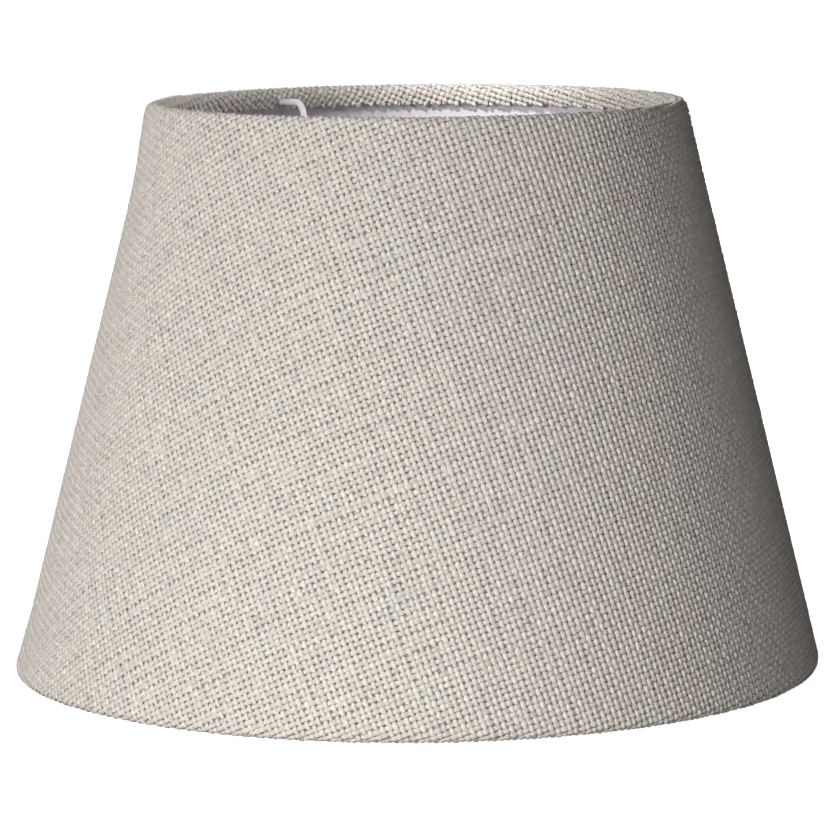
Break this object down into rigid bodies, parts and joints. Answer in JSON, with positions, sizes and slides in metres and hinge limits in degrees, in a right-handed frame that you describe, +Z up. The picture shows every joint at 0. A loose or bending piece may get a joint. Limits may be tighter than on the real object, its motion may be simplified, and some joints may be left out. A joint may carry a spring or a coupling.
{
  "type": "lamp shade",
  "caption": "Tapered round lamp shade: coarse woven cloth on a white liner, rolled over wire rings, with a recessed wire carrier for the lampholder.",
  "frame": {"origin": "centre of the bottom rim, in the plane that the shade stands on", "axes": "+Z up along the shade's axis, -Y towards the front, +X to the right seen from the front"},
  "size_m": [0.2984, 0.2984, 0.2105],
  "materials": {
    "natural_cloth": "matte",
    "white_liner": "satin",
    "coated_wire": "satin"
  },
  "bodies": {
    "root": {"fabric_cover": "natural_cloth", "liner": "white_liner", "top_ring": "coated_wire", "bottom_ring": "coated_wire", "fitter_ring": "coated_wire", "spider_arm_1": "coated_wire", "spider_arm_2": "coated_wire", "spider_arm_3": "coated_wire"}
  },
  "joints": []
}
